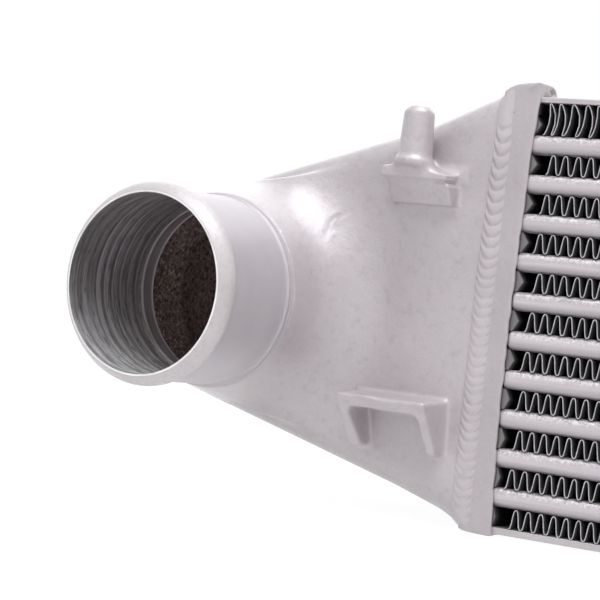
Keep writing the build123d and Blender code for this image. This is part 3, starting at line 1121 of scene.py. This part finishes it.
# rows across the seam, closer together at its edges
seamAcross = [0, 0.012, 0.03, 0.06, 0.1, 0.15, 0.2]
seamAcross += [0.26, 0.32, 0.38, 0.44, 0.5, 0.56, 0.62, 0.68, 0.74, 0.8, 0.86, 0.92, 0.96, 1]


def roundedLoop(corners):
    # corners as (y, z, radius); a side has the same number of points in any such loop
    path = []
    count = seam["cornerPoints"]
    for index, (y, z, radius) in enumerate(corners):
        here = np.array((y, z))
        nextY, nextZ, nextRadius = corners[(index + 1) % len(corners)]
        before = np.array(corners[index - 1][:2]) - here
        after = np.array((nextY, nextZ)) - here
        before /= np.linalg.norm(before)
        after /= np.linalg.norm(after)
        start, end = here + before * radius, here + after * radius
        for t in np.arange(count) / count:
            path.append(start * (1 - t) ** 2 + here * 2 * t * (1 - t) + end * t ** 2)
        stop = np.array((nextY, nextZ)) - after * nextRadius
        share = seam["shares"][index]
        for part in range(share):
            path.append(end + (stop - end) * part / share)
    return np.array(path)


def ripples(across, places, slip, height, draw):
    # lift of the seam's surface: rounded humps with narrow grooves between them
    lowest = seam["lowest"]
    if across < lowest:
        toLowest = seam["riseLeft"] * (1 - across / lowest) ** 2.3
    else:
        toLowest = seam["riseRight"] * ((across - lowest) / (1 - lowest)) ** 2.0
    pitch = seam["pitchLow"] + (seam["pitchHigh"] - seam["pitchLow"]) * ramped(height, *seam["pitchHeights"])
    counted = np.r_[0, np.cumsum(np.diff(places) / pitch[1:])]
    phase = np.interp(places + slip - toLowest, places, counted)
    most, uneven = 200, seam["pitchUneven"]
    phase = phase + np.interp(phase, np.arange(most), [draw.uniform(-uneven, uneven) for _ in range(most)])
    share = phase - np.floor(phase)
    groove = np.exp(-((np.minimum(share, 1 - share) / seam["grooveWidth"]) ** 2))
    hump = seam["hump"] * np.sin(pi * share)
    strength = 0.50 + 0.65 * ramped(height, *seam["strengthHeights"])
    strength = strength + 0.15 * np.sin(places / seam["strengthWave"])
    pool = 1 - ramped(height, seam["lastRipple"], seam["lastRipple"] + seam["fadeOut"])
    return seam["groove"] * (hump - groove) * strength * pool


def seamPaths():
    # the seam's outer path on the frame and its inner path on the tank, as (y, z)
    front, back = headerLow.y, headerHigh.y
    low, high, ringHigh = headerLow.z + seam["frameLow"], headerHigh.z - seam["frameHigh"], seam["ringHigh"]
    ear, afterEar = front + seam["earBack"], front + seam["earBack"] + seam["earStep"]
    tankLowest, tankHighest = tankLow.z + seam["tankLow"], tankHigh.z - seam["tankHigh"]
    wide, small, tankRound = seam["frameRound"], seam["earRound"], seam["tankRound"]
    outer = roundedLoop([
        (front, low, wide), (front, high, wide), (ear, high, small), (afterEar, ringHigh, small),
        (back, ringHigh, wide), (back, low, wide),
    ])
    inner = roundedLoop([
        (faceY, tankLowest, tankRound), (faceY, tankHighest, tankRound),
        (ear, tankHighest, small), (afterEar, tankHighest + 0.01 * mm, small),
        (-faceY, tankHighest, tankRound), (-faceY, tankLowest, tankRound),
    ])
    return outer, inner


def seamRows():
    # the seam's cross-section at every point of the path, row by row from the tank to the frame
    outer, inner = seamPaths()
    middle = (outer + inner) / 2
    tangent = np.roll(middle, -2, axis=0) - np.roll(middle, 2, axis=0)
    tangent /= np.linalg.norm(tangent, axis=1)[:, None]
    normal = np.c_[-tangent[:, 1], tangent[:, 0]]
    if np.sum(normal * (middle - middle.mean(axis=0))) < 0:
        normal = -normal
    lengths = np.linalg.norm(np.roll(middle, -1, axis=0) - middle, axis=1)
    along = np.r_[0, np.cumsum(lengths)[:-1]]
    knots, uneven = 130, seam["edgeUneven"]
    draw = Random(7)
    slack = [draw.uniform(-uneven, uneven) for _ in range(knots)]
    slack = np.interp(along, np.linspace(0, along[-1], knots), slack) * mm
    left, right = seam["leftLow"], jointX + seam["right"]
    edge = jointX + left + (seam["leftHigh"] - left) * ramped(outer[:, 1], *seam["leftHeights"])
    onFace = np.clip(-normal[:, 0], 0, 1) ** 2
    rows = []
    for t in seamAcross:
        x = edge + slack * (1 - t) + (right - edge) * t
        top = seam["crownAt"]
        hump = sin(pi * min(1, t / top) / 2) if t < top else 0.5 + 0.5 * cos(pi * min(1, (t - top) / 0.58))
        lift = seam["crown"] * hump + seam["edgeStep"] * max(0, 1 - t / 0.3) * (0.2 + 0.8 * onFace)
        blend = ramped(np.array(t), 0, 1)
        base = inner * (1 - blend) + outer * blend
        slip = np.sum((base - middle) * tangent, axis=1)
        waves = ripples(t, along, slip, base[:, 1], Random(11))
        lift = lift + waves * min(1, t / 0.05) * (1 - ramped(np.array(t), 0.72, 1))
        rows.append(np.c_[x, base + normal * (lift - seam["sunk"].get(t, 0))[:, None]])
    for t in (1, 0):
        # the underside, out of sight
        root = inner * (1 - t) + outer * t - normal * seam["root"]
        rows.append(np.c_[edge + (right - edge) * t, root])
    return rows + [rows[0]]


def runSeam():
    rows = seamRows()
    stations = len(rows[0])
    clearSelection()
    bpy.ops.mesh.primitive_grid_add(x_subdivisions=stations, y_subdivisions=len(rows) - 1, size=1)
    piece = startPiece("left_weld_bead")
    flat = coordinates(piece)
    station = np.round((flat[:, 0] + 0.5) * stations).astype(int) % stations
    row = np.round((flat[:, 1] + 0.5) * (len(rows) - 1)).astype(int)
    points = np.stack(rows)[row, station]
    points[:, 2] = np.clip(points[:, 2], headerLow.z + 0.03 * mm, headerHigh.z - 0.02 * mm)
    points[:, 2] = np.clip(points[:, 2], footLine(points) - 0.1 * mm, earTop(points) + 0.1 * mm)
    setCoordinates(piece, points)
    mergeDoubles(piece)
    outwardFaces(piece)
    cover(piece, "seamCast")
    smoothShade(piece)
    return piece


# header frames
header = {
    "voxel": 0.7 * mm,
    "calmRounds": 3,
    "keepShare": 0.5,
    # how far the lip's edge stands out, low to high on the face (height, width)
    "lipHeights": (-1, 12, 30, 50, 87, 113, 125, 138, 148, 156, 162),
    "lipWidths": (0.8, 0.3, -0.5, -0.8, -0.7, -0.2, 0.5, 0.7, 1.6, 1.9, 1.8),
    # the ear's top line: rounded down towards the tank (place across, height)
    "earPlaces": (-116, -112.7, -111.8, -110.3, -108.4, -106.5, -102.6, -98),
    "earHeights": (154.6, 156.9, 157.9, 159.0, 159.8, 160.4, 160.9, 161.3),
    "earDepths": (-37, -35, -33, -31.5, -30),
    "earDepthHeights": (161.2, 160.6, 159.5, 158.0, 156.6),
    # the frame's lower line, rounded up towards the tank
    "footPlaces": (-118, -115.1, -112.9, -111, -109.1, -106, -103, -98),
    "footHeights": (4.2, 2.0, 0.2, -0.35, -0.65, -0.85, -0.95, -1.06),
    "creaseFrom": (-101.6, 158.5),
    "creaseTo": (-98.6, 160.9),
    "creaseRise": 0.85 * mm,
    "creaseHalf": 0.55 * mm,
    "pocketAt": (-36.0, 158.7),       # small hollow in the ear's side (place in depth, height)
    "pocketHalf": (2.4, 1.1),
    "pocketDepth": 1.3 * mm,
    "pocketEdge": (0.6, 1.2),
    "lipUneven": 0.28 * mm,
    "lipKnots": 56,
    "lipDepth": (3 * mm, 0.4 * mm),   # the lip is shaped over this depth behind its edge
    "lipFront": (41 * mm, 44 * mm),   # and this far from the middle
    "earBase": 150 * mm,
    "footReach": 10 * mm,
}


def onEar(points):
    return points[:, 1] < headerLow.y + seam["earBack"] + 3 * mm


def earTop(points):
    heights = np.interp(points[:, 0] / mm, header["earPlaces"], header["earHeights"]) * mm
    behind = np.interp(points[:, 1] / mm, header["earDepths"], header["earDepthHeights"]) * mm
    return np.where(onEar(points), np.minimum(heights, behind), headerHigh.z)


def footLine(points):
    return np.interp(points[:, 0] / mm, header["footPlaces"], header["footHeights"]) * mm


def widenLip(points):
    # the lip's edge stands out by a different amount at each height, and a little unevenly
    wider = np.interp(points[:, 2] / mm, header["lipHeights"], header["lipWidths"]) * mm
    draw = Random(5)
    knots = header["lipKnots"]
    uneven = [draw.uniform(-1, 1) for _ in range(knots)]
    wider = wider + np.interp(points[:, 2], np.linspace(-0.002, 0.163, knots), uneven) * header["lipUneven"]
    atEdge = ramped(points[:, 0], *[lipX - depth for depth in header["lipDepth"]])
    inFront = ramped(np.abs(points[:, 1]), *header["lipFront"])
    ear = (points[:, 2] > plateTop + 0.4 * mm) & onEar(points)
    points[:, 0] += wider * np.where(ear, atEdge, atEdge * inFront)


def creaseEar(points):
    # raised crease on the ear's front and a small hollow in its side
    first, last = np.array(header["creaseFrom"]) * mm, np.array(header["creaseTo"]) * mm
    run = last - first
    flat = points[:, [0, 2]]
    share = np.clip(((flat - first) @ run) / (run @ run), 0, 1)
    away = np.linalg.norm(flat - first - share[:, None] * run, axis=1)
    rise = np.exp(-((away / header["creaseHalf"]) ** 2))
    points[:, 1] -= header["creaseRise"] * rise * (points[:, 1] < faceY)
    (middleY, middleZ), (halfY, halfZ) = header["pocketAt"], header["pocketHalf"]
    spot = np.hypot((points[:, 1] / mm - middleY) / halfY, (points[:, 2] / mm - middleZ) / halfZ)
    atSide = ramped(points[:, 0], lipX + 0.2 * mm, lipX + 1.4 * mm)
    points[:, 0] -= header["pocketDepth"] * (1 - ramped(spot, *header["pocketEdge"])) * atSide


def headerFrame():
    piece = mergedCopy("left_header_frame", "left_header")
    applyModifier(piece, "REMESH", mode="VOXEL", voxel_size=header["voxel"], use_smooth_shade=True)
    applyModifier(piece, "SMOOTH", factor=0.5, iterations=header["calmRounds"])
    points = coordinates(piece)
    widenLip(points)
    down = headerHigh.z - earTop(points)
    points[:, 2] -= down * ramped(points[:, 2], header["earBase"], headerHigh.z)
    up = footLine(points) - headerLow.z
    points[:, 2] += up * (1 - ramped(points[:, 2], headerLow.z, header["footReach"]))
    creaseEar(points)
    setCoordinates(piece, points)
    applyModifier(piece, "DECIMATE", ratio=header["keepShare"])
    cover(piece, "frameCast")
    smoothShade(piece)
    return piece


leftSeam = runSeam()
rightSeam = mirroredCopy(leftSeam, "right_weld_bead", 0)
keepPiece(leftSeam, "weld_filler", "left_weld_seam")
keepPiece(rightSeam, "weld_filler", "right_weld_seam")
print("seams welded")

leftHeader = headerFrame()
rightHeader = mirroredCopy(leftHeader, "right_header", 0)
keepPiece(leftHeader, "header_frame", "left_header_frame")
keepPiece(rightHeader, "header_frame", "right_header_frame")
print("header frames ready")


# passage bars, header bars and parting sheets of the core
core = {
    "rows": 11,                       # fin rows; a passage bar lies between each two
    "sheet": 0.5 * mm,
    "barGap": 8.3 * mm,               # from the last bar's top to where the next would start
    "barOpen": 7.3 * mm,
    "barDepth": 6 * mm,
    "barProud": 0.4 * mm,
    "barRound": 2.3 * mm,
    "barSegments": 5,
    "barEndRound": 1.1 * mm,
    "barCuts": 150,
    "barUneven": 0.13 * mm,
    "barTuck": 1.3 * mm,              # the bars' ends reach this far under the headers' lips
    "overlap": 0.05 * mm,
    "sheetSetBack": 2.2 * mm,
    # pointed bars beside the fins
    "pointDepths": (1.4 * mm, 2.8 * mm),     # lowest row, and highest from the ninth on
    "pointHeight": 7.3 * mm,
    "pointReach": 6 * mm,             # how far they run under the lip
    "pointFront": 0.3 * mm,
    "spacerFront": 2.4 * mm,
    "spacerOut": 0.8 * mm,
    "softEdge": 0.3 * mm,
    "sheetEdge": 0.12 * mm,
    "plateEdge": 0.45 * mm,
    "plateDepth": 0.45 * mm,          # the upper side plate's edge is this much thinner than its seat
}
finRows = [f"cooling_fin_{row + 1:02}" for row in range(core["rows"])]


def boxPiece(name, low, high):
    clearSelection()
    middle = [(a + b) / 2 for a, b in zip(low, high)]
    bpy.ops.mesh.primitive_cube_add(size=1, location=middle)
    piece = startPiece(name)
    piece.scale = [b - a for a, b in zip(low, high)]
    applyPlace(piece)
    return piece


def selectEdges(piece, chosen):
    # selects the edges for which chosen(first, second) holds
    with editing(piece, "DESELECT"):
        bpy.ops.mesh.select_mode(type="EDGE")
        bpy.ops.mesh.select_all(action="DESELECT")
    for edge in piece.data.edges:
        first, second = [piece.data.vertices[v].co for v in edge.vertices]
        edge.select = chosen(first, second)


def bevelWhere(piece, chosen, offset, segments):
    selectEdges(piece, chosen)
    bpy.ops.object.mode_set(mode="EDIT")
    bpy.ops.mesh.bevel(offset=offset, segments=segments, profile=0.5)
    bpy.ops.object.mode_set(mode="OBJECT")


def isLong(first, second):
    return abs(first.x - second.x) > 0.5 * abs(barLow.x)


def oneBar(low, high, draw):
    front = coreFront - core["barProud"]
    reach = -lipX + core["barTuck"]
    lap = core["overlap"]
    bar = boxPiece("bar", (-reach, front, low - lap), (reach, front + core["barDepth"], high + lap))
    bevelWhere(bar, lambda a, b: isLong(a, b) and a.y < front + micron, core["barRound"], core["barSegments"])
    bevelWhere(bar, lambda a, b: max(a.x, b.x) < micron - reach or min(a.x, b.x) > reach - micron,
               core["barEndRound"], 3)
    selectEdges(bar, isLong)
    bpy.ops.object.mode_set(mode="EDIT")
    bpy.ops.mesh.subdivide(number_cuts=core["barCuts"])
    bpy.ops.object.mode_set(mode="OBJECT")
    # its upper front edge swells and sinks a little along its length
    points = coordinates(bar)
    spread = np.linspace(-reach, reach, core["barCuts"])
    most = core["barUneven"]
    for axis, share, way in ((1, 0.6, -1), (2, 1.0, 1)):
        swell = np.interp(points[:, 0], spread, [draw.uniform(-1, 1) for _ in spread]) * most * share
        upper = ramped(points[:, 2], low + 3 * mm, high) * (points[:, 1] < front + 2 * mm)
        points[:, axis] += np.minimum(swell, 0.3 * most) * upper * way
    setCoordinates(bar, points)
    return bar


def frontBars():
    draw = Random(31)
    passages = core["rows"] - 1
    pitch = (barHigh.z - barLow.z + core["barGap"]) / passages
    made = []
    for row in range(passages):
        low = barLow.z + row * pitch - core["sheet"]
        made.append(oneBar(low, low + pitch - core["barOpen"], draw))
    piece = joinPieces(made, "front_bars")
    cover(piece, "bar")
    smoothShade(piece, 45)
    return piece


def pointedBar(bottom, tall, point):
    # five-sided section, drawn out over the core's whole depth
    clearSelection()
    bpy.ops.mesh.primitive_circle_add(vertices=5, radius=1, fill_type="NGON")
    bar = startPiece("header_bar")
    inner, top = lipX - core["pointReach"], bottom + tall
    section = [(inner, bottom), (lipX, bottom), (lipX + point, bottom + tall / 2), (lipX, top), (inner, top)]
    setCoordinates(bar, [(x, coreFront + core["pointFront"], z) for x, z in section])
    length = -2 * coreFront - 2 * core["pointFront"]
    with editing(bar):
        bpy.ops.mesh.extrude_region_move(TRANSFORM_OT_translate={"value": (0, length, 0)})
    outwardFaces(bar)
    bevelWhere(bar, lambda a, b: min(a.x, b.x) > lipX - micron, core["softEdge"], 2)
    return bar


def headerBars():
    # bars with a pointed edge that close the fin rows at the header frame
    made = []
    shallow, deep = core["pointDepths"]
    for row, node in enumerate(finRows):
        low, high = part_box(node)
        bottom, top = low.z - core["overlap"], high.z + core["overlap"]
        tall = min(top - bottom, core["pointHeight"])
        made.append(pointedBar(bottom, tall, shallow + (deep - shallow) * min(1, row / 8)))
        if top - bottom > tall + mm:
            # flat spacer over the bar of the deep top row
            back = -coreFront - core["spacerFront"]
            spacer = boxPiece("spacer", (lipX - core["pointReach"], -back, bottom + tall),
                              (lipX + core["spacerOut"], back, top))
            bevelWhere(spacer, lambda a, b: min(a.x, b.x) > lipX, core["softEdge"], 2)
            made.append(spacer)
    piece = joinPieces(made, "left_header_bars_piece")
    cover(piece, "pointedBar")
    smoothShade(piece, 30)
    return piece


def longPiece(node, low, high, rounding, segments, finish, slot):
    # plate or sheet with its long edges softened, in place of a CAD node
    piece = boxPiece(node + "_piece", low, high)
    bevelWhere(piece, isLong, rounding, segments)
    cover(piece, finish)
    smoothShade(piece, 40)
    keepPiece(piece, slot, node)


def setBackSheet(node):
    low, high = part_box(node)
    back = -coreFront - core["sheetSetBack"]
    ends = (low.x, -back, low.z), (high.x, back, high.z)
    longPiece(node, *ends, core["sheetEdge"], 2, "sheet", "parting_sheets")


def sidePlate(node, thinner):
    low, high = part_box(node)
    longPiece(node, low, (high.x, high.y, high.z - thinner), core["plateEdge"], 3, "plate", "side_plates")


frontBarPiece = frontBars()
rearBarPiece = mirroredCopy(frontBarPiece, "rear_bars", 1)
keepPiece(frontBarPiece, "passage_bars", "front_passage_bars")
keepPiece(rearBarPiece, "passage_bars", "rear_passage_bars")
leftPoints = headerBars()
rightPoints = mirroredCopy(leftPoints, "right_header_bars_piece", 0)
keepPiece(leftPoints, "header_bars", "left_header_bars")
keepPiece(rightPoints, "header_bars", "right_header_bars")
for node in sorted(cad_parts):
    if node.startswith("parting_sheet"):
        setBackSheet(node)
sidePlate("top_side_plate", core["plateDepth"])
sidePlate("bottom_side_plate", 0)
print("bars and sheets ready")


# cooling fins, folded leg by leg
fins = {
    "pitch": 4.85,
    "pointsPerLeg": 9,
    "foil": 0.31 * mm,
    "gap": 0.05 * mm,
    "steepness": 1.6,
    "upShare": 0.49,
    "uneven": 0.04,
    "lastGap": 3.9,                   # least distance from the last fold to the far lip, mm
    # mm from the lip to the first fold, from the lowest row up
    "starts": (7.0, 3.7, 5.2, 4.7, 4.6, 4.85, 6.1, 4.8, 5.7, 6.55),
    "topStarts": (3.9, 5.8, 7.2, 9.7, 11.5, 14.8, 16.7, 20.2, 21.9),
    # how far a leg of the deep top row bulges sideways, on its way up and on its way down
    "topBows": (0.95 * mm, 1.75 * mm),
    "bowUneven": 0.2,
}
topRow = core["rows"] - 1


def foldPlaces(row, draw):
    # places of the folds along the row in mm from the lip, valley first
    places = list(fins["topStarts"]) if row == topRow else [fins["starts"][row]]
    end = -2 * lipX / mm - fins["lastGap"]
    while places[-1] + fins["pitch"] < end:
        wave = fins["pitch"] * (1 + draw.uniform(-1, 1) * fins["uneven"])
        places.append(places[-1] + wave * fins["upShare"] * (1 + draw.uniform(-1, 1) * fins["uneven"]))
        places.append(places[-2] + wave)
    return places


def foldPath(row, low, high):
    # the foil's middle line, as places across and heights
    draw = Random(100 + row)
    places = foldPlaces(row, draw)
    inset = fins["gap"] + fins["foil"] / 2
    bottom, top = low.z + inset, high.z - inset
    steepness = fins["steepness"]
    x, z = [], []
    for leg, (start, end) in enumerate(zip(places, places[1:])):
        goesUp = leg % 2 == 0
        bow = fins["topBows"][leg % 2] if row == topRow else 0
        bow = bow * (1 + draw.uniform(-fins["bowUneven"], fins["bowUneven"]))
        for part in range(fins["pointsPerLeg"]):
            s = part / fins["pointsPerLeg"]
            rise = 0.5 - 0.5 * tanh(steepness * cos(pi * s)) / tanh(steepness)
            x.append(lipX + (start + (end - start) * s) * mm + bow * sin(pi * rise))
            z.append(bottom + (top - bottom) * (rise if goesUp else 1 - rise))
    x.append(lipX + places[-1] * mm)
    z.append(bottom if len(places) % 2 else top)
    return np.array(x), np.array(z)


def foldFin(row, node):
    low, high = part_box(node)
    x, z = foldPath(row, low, high)
    last = len(x) - 1
    clearSelection()
    bpy.ops.mesh.primitive_grid_add(x_subdivisions=last, y_subdivisions=1, size=1)
    piece = startPiece(f"fin_{row + 1:02}")
    flat = coordinates(piece)
    index = np.clip(np.round((flat[:, 0] + 0.5) * last).astype(int), 0, last)
    y = np.where(flat[:, 1] < 0, low.y + fins["gap"], high.y - fins["gap"])
    setCoordinates(piece, np.c_[x[index], y, z[index]])
    applyModifier(piece, "SOLIDIFY", thickness=fins["foil"], offset=0, use_even_offset=True)
    outwardFaces(piece)
    cover(piece, "fin")
    smoothShade(piece, 50)
    keepPiece(piece, "cooling_fins", node)


for row, node in enumerate(finRows):
    foldFin(row, node)
print("fins folded")


# floor, light and camera
studio = {
    "floorSize": 24.0,
    "floorDrop": 0.05 * mm,
    "floorTone": (0.92, 0.92, 0.92, 1),
    "floorWhite": 0.80,               # share of plain white that the floor shows to the camera
    "floorGlow": 1.17,
    "floorGloss": 0.9,                # how far reflections see it white
    "ambient": 0.42,
    "lampTint": (0.955, 0.97, 1.0),
    # name, place, size, power, aimed at
    "lamps": (
        ("overhead", (0.20, -0.46, 1.45), 1.2, 22.5, (-0.17, -0.06, 0.10)),
        ("front", (0.6, -1.6, 0.35), 1.6, 1.6, (-0.1, -0.05, 0.08)),
        ("rear", (-0.55, 0.95, 1.10), 1.8, 9.0, (-0.05, 0, 0.10)),
    ),
}
cameraSet = {
    "place": (0.23736, -0.71834, 0.08071),
    "turn": (89.583, -6.167, 32.447),
    "lens": 126.52,
    "sensor": 36.0,
    "nearest": 0.05,
    "farthest": 20,
}


def layFloor():
    clearSelection()
    level = cadLow.z - studio["floorDrop"]
    bpy.ops.mesh.primitive_plane_add(size=studio["floorSize"], location=(0, 0, level))
    floor = startPiece("floor")
    applyPlace(floor)
    finish = Finish("floor_white")
    fromCamera, inReflection = finish.add("LightPath", out=0), finish.add("LightPath", out=3)
    seen = finish.most(fromCamera, inReflection * studio["floorGloss"])
    cloth = finish.add("BsdfDiffuse", {}, {"Color": studio["floorTone"]})
    white = finish.add("Emission", {}, {"Color": (1, 1, 1, 1), "Strength": studio["floorGlow"]})
    mixed = finish.add("MixShader", {}, {0: seen * studio["floorWhite"], 1: cloth, 2: white})
    finish.add("OutputMaterial", {}, {"Surface": mixed})
    floor.data.materials.append(finish.material)


def lightWorld():
    # plain white to the camera and to reflections, dimmer as light on the part
    world = bpy.data.worlds.new("studio")
    bpy.context.scene.world = world
    world.use_nodes = True
    tree = world.node_tree
    tree.nodes.clear()
    path = tree.nodes.new("ShaderNodeLightPath")
    seen = path.outputs["Is Camera Ray"]
    for ray in ("Is Transmission Ray", "Is Glossy Ray"):
        either = tree.nodes.new("ShaderNodeMath")
        either.operation = "MAXIMUM"
        tree.links.new(seen, either.inputs[0])
        tree.links.new(path.outputs[ray], either.inputs[1])
        seen = either.outputs[0]
    strength = tree.nodes.new("ShaderNodeMapRange")
    strength.inputs["To Min"].default_value = studio["ambient"]
    strength.inputs["To Max"].default_value = 1.0
    tree.links.new(seen, strength.inputs["Value"])
    sky = tree.nodes.new("ShaderNodeBackground")
    sky.inputs["Color"].default_value = (1, 1, 1, 1)
    tree.links.new(strength.outputs[0], sky.inputs["Strength"])
    output = tree.nodes.new("ShaderNodeOutputWorld")
    tree.links.new(sky.outputs[0], output.inputs["Surface"])


def aimed(place, target):
    return (Vector(target) - Vector(place)).to_track_quat("-Z", "Y").to_euler()


def hangLamps():
    for name, place, size, power, target in studio["lamps"]:
        lamp = bpy.data.lights.new(name, "AREA")
        lamp.size = size
        lamp.energy = power
        lamp.color = studio["lampTint"]
        holder = bpy.data.objects.new(name, lamp)
        holder.location = place
        holder.rotation_euler = aimed(place, target)
        bpy.context.scene.collection.objects.link(holder)


def setCamera():
    lens = bpy.data.cameras.new("camera")
    lens.lens = cameraSet["lens"]
    lens.sensor_width = cameraSet["sensor"]
    lens.clip_start = cameraSet["nearest"]
    lens.clip_end = cameraSet["farthest"]
    camera = bpy.data.objects.new("camera", lens)
    camera.location = cameraSet["place"]
    camera.rotation_euler = [radians(angle) for angle in cameraSet["turn"]]
    bpy.context.scene.collection.objects.link(camera)
    bpy.context.scene.camera = camera


layFloor()
lightWorld()
hangLamps()
setCamera()
bpy.context.scene.view_settings.view_transform = "Standard"
print("studio ready")
